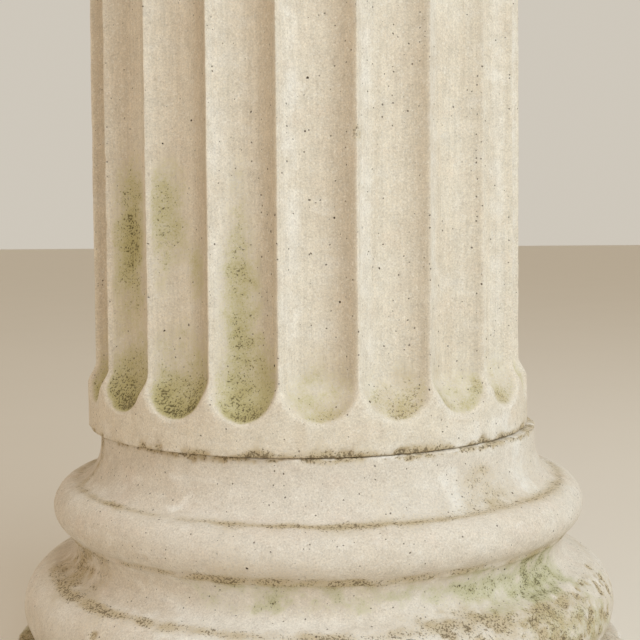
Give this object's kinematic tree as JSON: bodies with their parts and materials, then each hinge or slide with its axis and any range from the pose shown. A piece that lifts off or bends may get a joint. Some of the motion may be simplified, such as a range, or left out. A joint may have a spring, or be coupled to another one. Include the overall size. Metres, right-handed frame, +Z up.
{
  "type": "fluted column",
  "caption": "Free-standing fluted column of cast stone on a moulded base with a square plinth, with a plain square-topped capital.",
  "frame": {"origin": "centre of the plinth's flat underside", "axes": "+Z up along the column, +Y away from the face the picture shows, +X to the right of that face"},
  "size_m": [0.4044, 0.4044, 2.1006],
  "materials": {
    "base_stone": "weathered cream cast stone, sandy, stained in the hollows",
    "shaft_stone": "weathered cream cast stone, sandy, with algae at the flute ends",
    "capital_stone": "weathered cream cast stone, sandy"
  },
  "bodies": {
    "root": {"base": "base_stone", "shaft": "shaft_stone", "capital": "capital_stone"}
  },
  "joints": []
}
